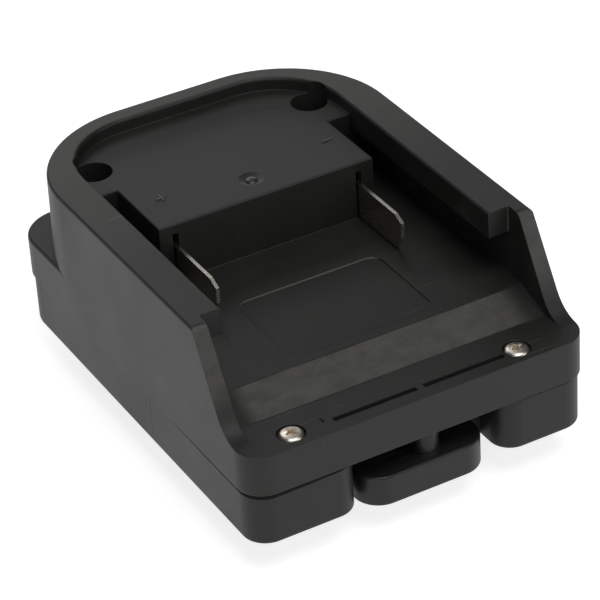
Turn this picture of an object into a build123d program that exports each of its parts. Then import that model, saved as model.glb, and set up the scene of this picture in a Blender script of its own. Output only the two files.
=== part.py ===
"""Tool battery adapter: a battery slides in on top, and the foot below slides into the tool.

Frame: X to the right, Y from the front edge to the back, Z up, origin under the middle of the foot's flat face.
"""
from build123d import *
from math import cos, pi, radians, sin
import os

os.makedirs("parts", exist_ok=True)

# Overall sizes
width = 80.7
length = 109.2
foot_height = 8.6
tray_height = 12.5
plate_height = 9.5
wall_height = 20.0
wall_draft = 0.95

# Moulded walls, clearances and the overrun of every cut
wall = 2.5
skin = 2.3
gap = 0.3
running = 0.06
edge_round = 0.8
fine_round = 0.4
overrun = 4.0

# Outline corners in plan
front_radius = 6.0
rear_radius = 10.0
back_radius = 27.5
recess_radius = 17.5

# Battery socket: the space between the flanges, the grooves under them and the floor
side_wall = 8.75
thin_wall = 3.75
socket_width = width - 2 * side_wall
groove_width = width - 2 * thin_wall
back_wall = 5.2
floor_rise = 3.1
flange_depth = 6.3
flange_setback = 24.9
wall_setback = 21.2
wall_lean = 29.5
toe_radius = 8.5
crest_radius = 2.0
ramp_start = 11.3
ramp_end = 20.6

# Terminal block
channel_gap = 5.45
block_depth = 46.5
rear_depth = 27.0
block_width = socket_width - 2 * channel_gap
block_setback = length - block_depth
channel_end = length - rear_depth
platform_drop = 3.1
block_edge_round = 0.4

# Shallow panel in the socket floor, and the marks on the block and the lip
panel_inset = 8.85
panel_start = 23.0
panel_clear = 15.1
panel_width = block_width - 2 * panel_inset
panel_end = block_setback - panel_clear
panel_depth = 0.4
panel_radius = 3.0
dimple_inset = 7.2
dimple_setback = block_setback + dimple_inset
dimple_width = 5.6
dimple_depth = 0.5
slit_width = 1.0
slit_setback = 3.8
slit_length = 19.2
slit_depth = 0.9
slit_spacing = 21.0
slit_shift = 1.3

# Screws that hold the two housings together
screw_spacing_share = 0.659
screw_spacing = width * screw_spacing_share
front_screw_setback = 4.5
front_screw_shift = -1.6
rear_screw_inset = 17.2
rear_screw_clear = 4.6
rear_screw_spacing = socket_width - 2 * rear_screw_clear
rear_screw_setback = length - rear_screw_inset
screw_width = 3.0
head_width = 5.5
head_height = 2.0
head_edge_share = 0.3
point_share = 0.25
drive_share = 0.45
drive_slot_share = 0.22
drive_depth_share = 0.6
front_sink = 1.5
front_bore = 6.1
rear_bore = 8.4
rear_seat = 5.0
boss_wall = 1.9
pilot_depth = 9.5

# Blade terminals
blade_inset = 3.75
blade_spacing = block_width - 2 * blade_inset
blade_thickness = 0.8
blade_reach = 18.2
blade_height = 8.3
blade_lift = 0.45
blade_root = 11.5
blade_tail = 2.4
blade_tail_drop = 8.5
blade_nose = 2.6
blade_nose_drop = 1.2
blade_chin = 2.6
blade_chin_rise = 3.4
slot_headroom = 2.7

# Blade retainer inside the block
retainer_depth = 7.0
retainer_height = 9.0
retainer_offset = 1.5
retainer_skirt = 1.5
retainer_web = 3.0
small_screw_width = 2.0
small_head_width = 3.8
small_head_height = 1.4
small_screw_length = 5.0
retainer_screw_share = 0.42
retainer_screw_spacing = block_width * retainer_screw_share

# Lower housing: recess between the posts, and the latch guides
tray_inset = 0.5
seam_groove = 0.5
seam_groove_depth = 1.0
latch_shift = 1.8
recess_share = 0.416
recess_width = width * recess_share
recess_depth = 12.0
post_radius = 5.0
window_height = 8.3
guide_wall = 2.0
guide_rise = 7.5

# Slide foot below the tray
foot_start = 30.0
foot_rear = 15.2
foot_inset = 14.85
rail_reach = 3.5
foot_end = length - foot_rear
neck_width = width - 2 * foot_inset
rail_width = neck_width + 2 * rail_reach
rail_depth = 3.5
rail_entry = 2.5
foot_slot_width = 1.8
foot_slot_length = 22.0
foot_slot_share = 0.25
foot_slot_spacing = width * foot_slot_share

# Latch button
travel = 4.5
paddle_clear = 2.0
paddle_width = recess_width - 2 * paddle_clear
paddle_shift = -1.0
paddle_depth = 8.8
paddle_height = 7.1
paddle_lift = -1.1
paddle_radius = 6.0
paddle_round = 0.5
column_width = 6.0
column_shift = 0.6
column_setback = 4.75
column_top = 2.5
column_wall = 1.2
arm_clear = 5.6
arm_width = recess_width - 2 * arm_clear
arm_height = 3.0
body_end = 23.0
body_height = 6.6
ear_reach = 3.0
ear_height = 2.2
tooth_share = 0.54
tooth_width = arm_width * tooth_share
tooth_start = 15.0
tooth_length = 7.0
tooth_height = 4.6
tooth_flat_share = 0.33
spring_clear = 3.2
spring_offset = arm_width / 2 - spring_clear
spring_setback = 17.2
peg_width = 3.4
peg_height = 1.8

# Latch springs
spring_width = 5.2
spring_wire = 0.6
spring_turns = 5.0
wire_sides = 6

# Fork contacts and their carrier
fork_length = 17.0
fork_height = 5.6
fork_metal = 0.5
fork_spread = 3.2
fork_pinch = 0.9
fork_mouth = 2.4
fork_base = 2.5
fork_pinch_share = 0.75
fork_tail_height = 5.2
carrier_cheek = 6.0
carrier_width = foot_slot_spacing + 2 * carrier_cheek
carrier_height = 8.0
carrier_chamber = 5.4
carrier_back = 3.0
carrier_screw_inset = 13.85
carrier_screw_spacing = width - 2 * carrier_screw_inset
carrier_lug = 3.5
carrier_bar = carrier_screw_spacing + 2 * carrier_lug
carrier_bar_depth = 7.0
carrier_bar_thickness = 2.0
carrier_neck = 12.0
carrier_boss_height = 3.4

# Circuit board that guards the battery against running flat
board_share = 0.45
board_width = width * board_share
board_depth = 14.0
board_thickness = 1.6
board_clear = 4.0
board_rise = 4.0
board_screw_inset = 3.2
board_pilot = 6.0
switch_width = 6.6
switch_depth = 6.2
switch_inset = 1.5
switch_height = 2.3
switch_spacing = 9.0
store_width = 6.3
store_height = 8.0
store_inset = 7.6
store_edge = 0.5
pad_inset = 4.2
pad_spacing = 6.4

# Leads and their sleeves
lead_width = 2.2
lead_drop = 4.5
lead_rise = 6.0
sleeve_width = 3.4
sleeve_bore = 2.8
sleeve_length = 5.0

# Levels and places that follow from the sizes above
front = -length / 2
z_tray = foot_height
z_seam = z_tray + tray_height
z_plate = z_seam + plate_height
z_floor = z_plate + floor_rise
z_top = z_plate + wall_height
z_flange = z_top - flange_depth
z_platform = z_top - platform_drop
z_lip_ceiling = z_plate - skin
z_floor_ceiling = z_floor - skin
z_block_ceiling = z_platform - skin
z_tray_floor = z_tray + wall
z_blade = z_floor + blade_lift
z_rear_seat = z_seam + rear_seat
y_block = front + block_setback
y_channel = front + channel_end
y_paddle_back = front + paddle_depth
y_recess = front + recess_depth
y_body_end = front + body_end
y_foot = front + foot_start
y_foot_end = front + foot_end
y_rear_screw = front + rear_screw_setback
y_front_screw = front + front_screw_setback
y_blade_tip = y_block - blade_reach
y_blade_end = y_block + blade_root
y_column = front + column_setback
y_spring = front + spring_setback
z_paddle = z_tray + paddle_lift
z_paddle_top = z_paddle + paddle_height
z_body = z_tray + gap
z_body_top = z_body + body_height
foot_middle = (y_foot + y_foot_end) / 2
y_fork = y_foot_end - wall - gap - fork_length
y_carrier = y_fork - carrier_back
y_carrier_bar = y_fork + carrier_bar_depth / 2
z_fork = wall + gap
z_carrier_top = z_fork + carrier_height
z_carrier_boss = z_tray_floor + carrier_boss_height
y_board_end = y_block - board_clear
y_board = y_board_end - board_depth
z_board = z_tray_floor + board_rise
z_board_top = z_board + board_thickness
x_column = latch_shift + column_shift


def plan_outline(level, inset, front_corner, rear_corner):
    """Housing outline in plan at a level, moved inwards by the inset."""
    with BuildSketch(Plane.XY.offset(level)) as outline:
        Rectangle(width - 2 * inset, length - 2 * inset)
        fillet(outline.vertices().group_by(Axis.Y)[0], front_corner - inset)
        fillet(outline.vertices().group_by(Axis.Y)[-1], rear_corner - inset)
    return outline.sketch


def side_profile(x, *points):
    """Closed outline in the YZ plane at a distance from the middle."""
    with BuildSketch(Plane.YZ.offset(x)) as profile:
        with BuildLine():
            Polyline(*points, close=True)
        make_face()
    return profile.sketch


def block(x_size, y_from, y_to, z_from, z_to, mode=Mode.ADD, x=0):
    """Straight-sided block between two places along Y and two levels."""
    with Locations((x, (y_from + y_to) / 2, z_from)):
        Box(x_size, y_to - y_from, z_to - z_from, align=(Align.CENTER, Align.CENTER, Align.MIN), mode=mode)


def post(x, y, diameter, z_from, z_to, mode=Mode.ADD):
    """Round post or bore between two levels."""
    with Locations((x, y, z_from)):
        Cylinder(diameter / 2, z_to - z_from, align=(Align.CENTER, Align.CENTER, Align.MIN), mode=mode)


# Upper housing
socket_half = socket_width / 2
groove_half = groove_width / 2
block_half = block_width / 2
wall_start = front + wall_setback
wall_foot = wall_start - wall_height * sin(radians(wall_lean)) / cos(radians(wall_lean))
front_screw_places = [(side * screw_spacing / 2 + front_screw_shift, y_front_screw) for side in (-1, 1)]
rear_screw_places = [(side * rear_screw_spacing / 2, y_rear_screw) for side in (-1, 1)]
board_screw_places = [(side * (board_width / 2 - board_screw_inset), y_board + board_depth / 2) for side in (-1, 1)]
bore_wall_width = screw_width + 2 * gap + 2 * boss_wall

with BuildPart() as plate:
    extrude(plan_outline(z_seam, 0, front_radius, rear_radius), amount=plate_height)
    fillet(plate.faces().sort_by(Axis.Z)[-1].edges(), edge_round)

with BuildPart() as top_housing:
    # The U-shaped wall, cut to its leaning front edge, stands on the plate
    extrude(plan_outline(z_plate - edge_round, 0, front_radius, back_radius), amount=wall_height + edge_round,
            taper=wall_draft)
    fillet(top_housing.faces().sort_by(Axis.Z)[-1].edges(), edge_round)
    with BuildSketch(Plane.YZ) as side_view:
        with BuildLine():
            Polyline(
                (front, z_seam), (front, z_plate), (wall_foot, z_plate), (wall_start, z_top),
                (-front, z_top), (-front, z_seam), close=True,
            )
        make_face()
        fillet(side_view.vertices().sort_by_distance((wall_foot, z_plate, 0))[0], toe_radius)
        fillet(side_view.vertices().sort_by_distance((wall_start, z_top, 0))[0], crest_radius)
    extrude(amount=width, both=True, mode=Mode.INTERSECT)
    add(plate.part)

    # Socket between the flanges, with the ramp up to its floor
    extrude(
        side_profile(
            -socket_half, (front - overrun, z_plate), (front + ramp_start, z_plate), (front + ramp_end, z_floor),
            (y_block, z_floor), (y_block, z_top + overrun), (front - overrun, z_top + overrun),
        ),
        amount=socket_width, mode=Mode.SUBTRACT,
    )
    # Grooves under the flanges, open at the front, and the channels beside the block
    for side in (-1, 1):
        groove_start = -groove_half if side < 0 else block_half
        extrude(
            side_profile(
                groove_start, (front - overrun, z_plate), (front + ramp_start, z_plate),
                (front + ramp_end, z_floor), (y_channel, z_floor), (y_channel, z_flange),
                (front + flange_setback, z_flange), (front + flange_setback, z_top + overrun),
                (front - overrun, z_top + overrun),
            ),
            amount=groove_half - block_half, mode=Mode.SUBTRACT,
        )
        channel_width = socket_half - block_half
        block(channel_width, y_block - overrun, y_channel, z_floor, z_top + overrun, Mode.SUBTRACT,
              side * (block_half + channel_width / 2))
    # Recess above the platform
    with BuildSketch(Plane.XY.offset(z_platform)) as recess:
        with Locations((0, (y_block - front - back_wall) / 2)):
            Rectangle(socket_width, -front - back_wall - y_block)
        fillet(recess.vertices().group_by(Axis.Y)[-1], recess_radius)
    extrude(amount=platform_drop + overrun, mode=Mode.SUBTRACT)

    # Rounded edges that show
    inner_edges = top_housing.edges().group_by(Axis.Z)[-1].filter_by_position(
        Axis.X, -socket_half - running, socket_half + running).filter_by_position(
        Axis.Y, front, -front - back_wall + running)
    fillet(inner_edges, edge_round)
    block_edges = top_housing.edges().filter_by_position(
        Axis.Z, z_platform - running, z_platform + running).filter_by_position(
        Axis.Y, y_block - running, y_channel + running)
    fillet(block_edges, block_edge_round)

    # Hollow inside: under the lip, under the floor and inside the block
    extrude(plan_outline(z_seam - overrun, wall, front_radius, rear_radius),
            amount=z_lip_ceiling - z_seam + overrun, mode=Mode.SUBTRACT)
    hollow_start = front + ramp_end + skin
    hollow_end = -front - 2 * wall
    with BuildSketch(Plane.XY.offset(z_seam)) as hollow:
        with Locations((0, (hollow_start + hollow_end) / 2)):
            Rectangle(groove_width, hollow_end - hollow_start)
        fillet(hollow.vertices().group_by(Axis.Y)[-1], back_radius - wall)
    extrude(amount=z_floor_ceiling - z_seam, mode=Mode.SUBTRACT)
    block(block_width - 2 * skin, y_block + skin, -front - back_wall - skin, z_seam, z_block_ceiling,
          Mode.SUBTRACT)

    # Bosses for the screws, the bridge over the latch recess and the boss that guides the latch column
    for x, y in front_screw_places:
        post(x, y, bore_wall_width, z_seam, z_lip_ceiling + gap)
    for x, y in rear_screw_places:
        post(x, y, rear_bore + 2 * boss_wall, z_seam, z_block_ceiling + gap)
    block(recess_width + 2 * wall, front + wall - gap, y_recess, z_seam, z_seam + skin, x=latch_shift)
    post(x_column, y_column, column_width + 2 * column_wall, z_seam, z_lip_ceiling + gap)
    for side in (-1, 1):
        post(latch_shift + side * spring_offset, y_spring, peg_width, z_lip_ceiling - peg_height,
             z_lip_ceiling + gap)
        post(side * retainer_screw_spacing / 2, y_block + skin + retainer_offset + retainer_depth / 2,
             small_screw_width + 2 * boss_wall, z_blade + retainer_height + gap, z_block_ceiling + gap)

    # Screw holes, column bore, blade slots
    for x, y in front_screw_places:
        post(x, y, front_bore, z_plate - front_sink, z_plate + overrun, Mode.SUBTRACT)
        post(x, y, screw_width + 2 * gap, z_seam - overrun, z_plate, Mode.SUBTRACT)
    for x, y in rear_screw_places:
        post(x, y, rear_bore, z_rear_seat, z_top + overrun, Mode.SUBTRACT)
        post(x, y, screw_width + 2 * gap, z_seam - overrun, z_top, Mode.SUBTRACT)
    post(x_column, y_column, column_width + 2 * running, z_seam - overrun, z_lip_ceiling, Mode.SUBTRACT)
    for side in (-1, 1):
        x = side * blade_spacing / 2
        block(blade_thickness + 2 * gap, y_block - overrun / 2, y_block + skin + gap, z_floor,
              z_blade + blade_height + slot_headroom, Mode.SUBTRACT, x)
        post(side * retainer_screw_spacing / 2, y_block + skin + retainer_offset + retainer_depth / 2,
             small_screw_width, z_blade, z_block_ceiling + gap, Mode.SUBTRACT)

    # Shallow panel in the floor, dimple on the platform and the two slits in the lip
    with BuildSketch(Plane.XY.offset(z_floor - panel_depth)):
        with Locations((0, front + (panel_start + panel_end) / 2)):
            RectangleRounded(panel_width, panel_end - panel_start, panel_radius)
    extrude(amount=panel_depth + overrun, mode=Mode.SUBTRACT)
    dimple_ball = (dimple_width ** 2 / 4 + dimple_depth ** 2) / (2 * dimple_depth)
    with Locations((0, front + dimple_setback, z_platform + dimple_ball - dimple_depth)):
        Sphere(dimple_ball, mode=Mode.SUBTRACT)
    with BuildSketch(Plane.XY.offset(z_plate - slit_depth)):
        with Locations((slit_shift, front + slit_setback)):
            with GridLocations(slit_spacing, 0, 2, 1):
                Rectangle(slit_length, slit_width)
    extrude(amount=slit_depth + overrun, mode=Mode.SUBTRACT)

top_housing.part.label = "top_housing"
export_step(top_housing.part, "parts/top_housing.step")

# Lower housing
neck_half = neck_width / 2
foot_length = y_foot_end - y_foot
with BuildPart() as bottom_housing:
    with BuildSketch(Plane.XY.offset(z_tray)) as tray_plan:
        Rectangle(width - 2 * tray_inset, length - 2 * tray_inset)
        fillet(tray_plan.vertices().group_by(Axis.Y)[0], front_radius - tray_inset)
        fillet(tray_plan.vertices().group_by(Axis.Y)[-1], rear_radius - tray_inset)
        with Locations((latch_shift, (front - overrun + y_recess - wall) / 2)):
            Rectangle(recess_width, recess_depth - wall + overrun, mode=Mode.SUBTRACT)
        post_half = recess_width / 2 + running
        fillet(tray_plan.vertices().filter_by_position(Axis.X, latch_shift - post_half, latch_shift + post_half)
               .group_by(Axis.Y)[0], post_radius)
    extrude(amount=tray_height - gap / 2)
    fillet(bottom_housing.faces().sort_by(Axis.Z)[0].edges(), edge_round)
    # Shadow groove under the seam
    with BuildSketch(Plane.XY.offset(z_seam - seam_groove)) as groove_plan:
        Rectangle(width + overrun, length + overrun)
        Rectangle(width - 2 * seam_groove_depth, length - 2 * seam_groove_depth, mode=Mode.SUBTRACT)
    extrude(amount=seam_groove, mode=Mode.SUBTRACT)
    with BuildSketch(Plane.XY.offset(z_tray_floor)) as tray_hollow:
        Rectangle(width - 2 * tray_inset - 2 * wall, length - 2 * tray_inset - 2 * wall)
        fillet(tray_hollow.vertices().group_by(Axis.Y)[0], front_radius - tray_inset - wall)
        fillet(tray_hollow.vertices().group_by(Axis.Y)[-1], rear_radius - tray_inset - wall)
        with Locations((latch_shift, (front + y_recess) / 2)):
            Rectangle(recess_width + 2 * wall, recess_depth, mode=Mode.SUBTRACT)
    extrude(amount=tray_height + overrun, mode=Mode.SUBTRACT)
    # Slide foot: a narrow neck with a wider rail below it
    block(neck_width, y_foot, y_foot_end, rail_depth, z_tray + gap)
    with BuildSketch(Plane.XY) as rail_plan:
        with Locations((0, foot_middle)):
            Rectangle(rail_width, foot_length)
        chamfer(rail_plan.vertices().group_by(Axis.Y)[-1], rail_entry)
    extrude(amount=rail_depth)
    block(neck_width - 2 * wall, y_foot + wall, y_foot_end - wall, wall, z_tray_floor + overrun, Mode.SUBTRACT)
    # Screw posts
    for x, y in front_screw_places + rear_screw_places:
        post(x, y, bore_wall_width, z_tray_floor - gap, z_seam - gap / 2)
    # Guides on both sides of the latch and behind it
    guide_half = arm_width / 2 + ear_reach + gap
    for side in (-1, 1):
        block(guide_wall, y_recess - gap, y_body_end + gap + guide_wall, z_tray_floor - gap,
              z_tray_floor + guide_rise, x=latch_shift + side * (guide_half + guide_wall / 2))
    block(2 * guide_half, y_body_end + gap, y_body_end + gap + guide_wall, z_tray_floor - gap,
          z_tray_floor + guide_rise, x=latch_shift)
    # Window for the latch's arm, open below
    block(arm_width + 2 * gap, y_recess - wall - overrun, y_body_end + gap, z_tray - overrun,
          z_tray + window_height, Mode.SUBTRACT, latch_shift)
    # Posts that the circuit board stands on
    for x, y in board_screw_places:
        post(x, y, small_screw_width + 2 * boss_wall, wall - gap, z_board)
        post(x, y, small_screw_width + 2 * running, z_board - board_pilot, z_board + overrun, Mode.SUBTRACT)
    # Bosses for the contact carrier
    for side in (-1, 1):
        post(side * carrier_screw_spacing / 2, y_carrier_bar, small_screw_width + 2 * boss_wall,
             z_tray_floor - gap, z_carrier_boss)
        post(side * carrier_screw_spacing / 2, y_carrier_bar, small_screw_width + 2 * running,
             z_tray_floor, z_carrier_boss + overrun, Mode.SUBTRACT)
    # Pilot holes, and the slots that the tool's blades enter
    for x, y in front_screw_places + rear_screw_places:
        post(x, y, screw_width + 2 * running, z_seam - pilot_depth, z_seam + overrun, Mode.SUBTRACT)
    for side in (-1, 1):
        block(foot_slot_width, y_foot_end - foot_slot_length, y_foot_end + overrun, -overrun,
              wall + fork_height, Mode.SUBTRACT, side * foot_slot_spacing / 2)

bottom_housing.part.label = "bottom_housing"
export_step(bottom_housing.part, "parts/bottom_housing.step")



# Screws, drawn along Z from the flat side of the head
def screw_solid(diameter, head, head_rise, shank, x, y, z_head, pointing=-1):
    """Pan-head screw with a cross recess; pointing is -1 for down and 1 for up."""
    axis_plane = Plane(origin=(x, y, z_head), x_dir=(1, 0, 0), z_dir=(0, 0, -pointing))
    with BuildPart(axis_plane, mode=Mode.PRIVATE) as screw:
        Cylinder(head / 2, head_rise, align=(Align.CENTER, Align.CENTER, Align.MIN))
        chamfer(screw.edges().group_by(Axis((0, 0, 0), (0, 0, -pointing)))[-1], head_rise * head_edge_share)
        Cylinder(diameter / 2, shank, align=(Align.CENTER, Align.CENTER, Align.MAX))
        chamfer(screw.edges().group_by(Axis((0, 0, 0), (0, 0, -pointing)))[0], diameter * point_share)
        with Locations((0, 0, head_rise * (1 - drive_depth_share))):
            for turn in (0, 90):
                Box(head * drive_share, diameter * drive_slot_share, head_rise, rotation=(0, 0, turn),
                    align=(Align.CENTER, Align.CENTER, Align.MIN), mode=Mode.SUBTRACT)
    return screw.part


front_head = z_plate - front_sink
with BuildPart() as front_screws:
    for x, y in front_screw_places:
        add(screw_solid(screw_width, head_width, head_height, front_head - z_seam + pilot_depth - gap, x, y,
                        front_head))
front_screws.part.label = "front_screws"
export_step(front_screws.part, "parts/front_screws.step")

with BuildPart() as rear_screws:
    for x, y in rear_screw_places:
        add(screw_solid(screw_width, head_width, head_height, rear_seat + pilot_depth - gap, x, y, z_rear_seat))
rear_screws.part.label = "rear_screws"
export_step(rear_screws.part, "parts/rear_screws.step")

y_retainer = y_block + skin + retainer_offset
retainer_screw_places = [
    (side * retainer_screw_spacing / 2, y_retainer + retainer_depth / 2) for side in (-1, 1)
]
z_retainer_seat = z_blade + retainer_height - retainer_web
with BuildPart() as retainer_screws:
    for x, y in retainer_screw_places:
        add(screw_solid(small_screw_width - 2 * running, small_head_width, small_head_height,
                        small_screw_length, x, y, z_retainer_seat, 1))
retainer_screws.part.label = "retainer_screws"
export_step(retainer_screws.part, "parts/retainer_screws.step")

carrier_screw_places = [(side * carrier_screw_spacing / 2, y_carrier_bar) for side in (-1, 1)]
z_carrier_head = z_carrier_boss + gap + carrier_bar_thickness
with BuildPart() as carrier_screws:
    for x, y in carrier_screw_places:
        add(screw_solid(small_screw_width, small_head_width, small_head_height, small_screw_length, x, y,
                        z_carrier_head))
carrier_screws.part.label = "carrier_screws"
export_step(carrier_screws.part, "parts/carrier_screws.step")

# Blade terminals: the nose enters the battery, the tail inside takes the lead
for side, name in ((-1, "blade_positive"), (1, "blade_negative")):
    z_blade_top = z_blade + blade_height
    with BuildPart() as blade:
        extrude(
            side_profile(
                side * blade_spacing / 2 - blade_thickness / 2,
                (y_blade_tip, z_blade + blade_chin_rise), (y_blade_tip, z_blade_top - blade_nose_drop),
                (y_blade_tip + blade_nose, z_blade_top), (y_blade_end, z_blade_top),
                (y_blade_end, z_blade - blade_tail_drop), (y_blade_end - blade_tail, z_blade - blade_tail_drop),
                (y_blade_end - blade_tail, z_blade), (y_blade_tip + blade_chin, z_blade),
            ),
            amount=blade_thickness,
        )
    blade.part.label = name
    export_step(blade.part, "parts/" + name + ".step")

# Bar that holds the blades' roots
with BuildPart() as blade_retainer:
    block(block_width - 2 * skin - 2 * gap, y_retainer, y_retainer + retainer_depth, z_blade - retainer_skirt,
          z_blade + retainer_height)
    for side in (-1, 1):
        block(blade_thickness + 2 * running, y_retainer - overrun, y_blade_end, z_blade - overrun,
              z_blade + blade_height + running, Mode.SUBTRACT, side * blade_spacing / 2)
    for x, y in retainer_screw_places:
        post(x, y, small_screw_width + 2 * running, z_blade, z_blade + retainer_height + overrun, Mode.SUBTRACT)
        post(x, y, small_head_width + 2 * gap, z_blade - overrun, z_retainer_seat, Mode.SUBTRACT)
blade_retainer.part.label = "blade_retainer"
export_step(blade_retainer.part, "parts/blade_retainer.step")

# Fork contacts: two sprung leaves on a base, with a tail for the lead
for side, name in ((-1, "contact_positive"), (1, "contact_negative")):
    x_fork = side * foot_slot_spacing / 2
    y_pinch = y_fork + fork_length * fork_pinch_share
    with BuildPart() as contact:
        with BuildSketch(Plane.XY.offset(z_fork)):
            for leaf in (-1, 1):
                with BuildLine():
                    outer = fork_spread / 2
                    Polyline(
                        (x_fork + leaf * outer, y_fork), (x_fork + leaf * outer, y_fork + fork_base),
                        (x_fork + leaf * (fork_pinch / 2 + fork_metal), y_pinch),
                        (x_fork + leaf * (fork_mouth / 2 + fork_metal), y_fork + fork_length),
                        (x_fork + leaf * fork_mouth / 2, y_fork + fork_length),
                        (x_fork + leaf * fork_pinch / 2, y_pinch),
                        (x_fork + leaf * (outer - fork_metal), y_fork + fork_base),
                        (x_fork + leaf * (outer - fork_metal), y_fork), close=True,
                    )
                make_face()
        extrude(amount=fork_height)
        block(fork_spread, y_fork, y_fork + fork_metal, z_fork, z_fork + fork_height, x=x_fork)
        block(blade_tail, y_fork, y_fork + blade_thickness, z_fork + fork_height - fork_metal,
              z_fork + fork_height + fork_tail_height, x=x_fork)
    contact.part.label = name
    export_step(contact.part, "parts/" + name + ".step")

# Carrier: two chambers for the forks and a bar that is screwed to the tray
with BuildPart() as contact_carrier:
    block(carrier_width, y_carrier, y_foot_end - wall - gap, z_fork, z_carrier_top)
    block(carrier_neck, y_carrier_bar - carrier_bar_depth / 2, y_carrier_bar + carrier_bar_depth / 2,
          z_carrier_top, z_carrier_boss + gap + carrier_bar_thickness)
    block(carrier_bar, y_carrier_bar - carrier_bar_depth / 2, y_carrier_bar + carrier_bar_depth / 2,
          z_carrier_boss + gap, z_carrier_head)
    for side in (-1, 1):
        x_fork = side * foot_slot_spacing / 2
        block(carrier_chamber, y_fork - gap, y_foot_end, z_fork - overrun, z_fork + fork_height + gap,
              Mode.SUBTRACT, x_fork)
        block(blade_tail + 2 * gap, y_fork - gap, y_fork + blade_thickness + gap, z_fork, z_carrier_top,
              Mode.SUBTRACT, x_fork)
    for side in (-1, 1):
        block(sleeve_width + 2 * gap + blade_tail, y_carrier_bar - carrier_bar_depth, y_fork + sleeve_width,
              z_carrier_top, z_carrier_head + overrun, Mode.SUBTRACT, side * foot_slot_spacing / 2)
    for x, y in carrier_screw_places:
        post(x, y, small_screw_width + 2 * running, z_carrier_boss, z_carrier_head + overrun, Mode.SUBTRACT)
contact_carrier.part.label = "contact_carrier"
export_step(contact_carrier.part, "parts/contact_carrier.step")

# Circuit board with its switches and its storage capacitor
with BuildPart() as circuit_board:
    block(board_width, y_board, y_board_end, z_board, z_board_top)
    for x, y in board_screw_places:
        post(x, y, small_screw_width + 2 * gap, z_board - overrun, z_board_top + overrun, Mode.SUBTRACT)
circuit_board.part.label = "circuit_board"
export_step(circuit_board.part, "parts/circuit_board.step")

with BuildPart() as board_screws:
    for x, y in board_screw_places:
        add(screw_solid(small_screw_width, small_head_width, small_head_height, small_screw_length, x, y,
                        z_board_top))
board_screws.part.label = "board_screws"
export_step(board_screws.part, "parts/board_screws.step")

with BuildPart() as board_switches:
    for side in (-1, 1):
        y_switch = y_board + switch_inset
        block(switch_width, y_switch, y_switch + switch_depth, z_board_top, z_board_top + switch_height,
              x=side * switch_spacing / 2)
board_switches.part.label = "board_switches"
export_step(board_switches.part, "parts/board_switches.step")

with BuildPart() as board_capacitor:
    post(-board_width / 2 + store_inset, y_board_end - store_edge - store_width / 2, store_width, z_board_top,
         z_board_top + store_height)
    chamfer(board_capacitor.edges().group_by(Axis.Z)[-1], fine_round)
board_capacitor.part.label = "board_capacitor"
export_step(board_capacitor.part, "parts/board_capacitor.step")


# Leads from the blades' tails to the board and to the forks' tails, with shrink sleeves over the joints
def lead_solid(*places):
    """Round lead along straight runs joined by arcs."""
    with BuildPart(mode=Mode.PRIVATE) as lead:
        with BuildLine() as route:
            FilletPolyline(*places, radius=lead_width)
        with BuildSketch(Plane(route.line @ 0, z_dir=route.line % 0)):
            Circle(lead_width / 2)
        sweep()
    route_length = sum(edge.length for edge in route.edges())
    section_area = pi * lead_width ** 2 / 4
    print("lead: volume over section times length", round(lead.part.volume / (section_area * route_length), 4))
    return lead.part


z_lead_top = z_blade - blade_tail_drop - running
z_lead_foot = z_fork + fork_height + fork_tail_height + running
y_lead_top = y_blade_end - blade_tail / 2
y_lead_foot = y_fork + blade_thickness / 2
y_pad = y_board_end - pad_inset
z_pad = z_board_top + running
z_high_run = z_lead_top - lead_drop
z_low_run = z_lead_foot + lead_rise
x_blade_tail = blade_spacing / 2
x_fork_tail = foot_slot_spacing / 2
x_pad = x_fork_tail + pad_spacing / 2

with BuildPart() as wire_positive:
    add(lead_solid((-x_blade_tail, y_lead_top, z_lead_top), (-x_blade_tail, y_lead_top, z_high_run),
                   (-x_fork_tail, y_lead_foot, z_low_run), (-x_fork_tail, y_lead_foot, z_lead_foot)))
wire_positive.part.label = "wire_positive"
export_step(wire_positive.part, "parts/wire_positive.step")

with BuildPart() as wire_negative_in:
    add(lead_solid((x_blade_tail, y_lead_top, z_lead_top), (x_blade_tail, y_lead_top, z_high_run),
                   (x_pad, y_pad, z_high_run), (x_pad, y_pad, z_pad)))
wire_negative_in.part.label = "wire_negative_in"
export_step(wire_negative_in.part, "parts/wire_negative_in.step")

with BuildPart() as wire_negative_out:
    add(lead_solid((x_fork_tail, y_lead_foot, z_lead_foot), (x_fork_tail, y_lead_foot, z_low_run),
                   (x_pad - pad_spacing, y_pad, z_low_run + running), (x_pad - pad_spacing, y_pad, z_pad)))
wire_negative_out.part.label = "wire_negative_out"
export_step(wire_negative_out.part, "parts/wire_negative_out.step")

with BuildPart() as wire_sleeves:
    for side in (-1, 1):
        places = (
            (side * blade_spacing / 2, y_lead_top, z_lead_top),
            (side * foot_slot_spacing / 2, y_lead_foot, z_lead_foot),
        )
        for x, y, z in places:
            half = sleeve_length / 2
            post(x, y, sleeve_width, z - half, z + half)
            post(x, y, sleeve_bore, z - half - gap, z + half + gap, Mode.SUBTRACT)
wire_sleeves.part.label = "wire_sleeves"
export_step(wire_sleeves.part, "parts/wire_sleeves.step")

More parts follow.
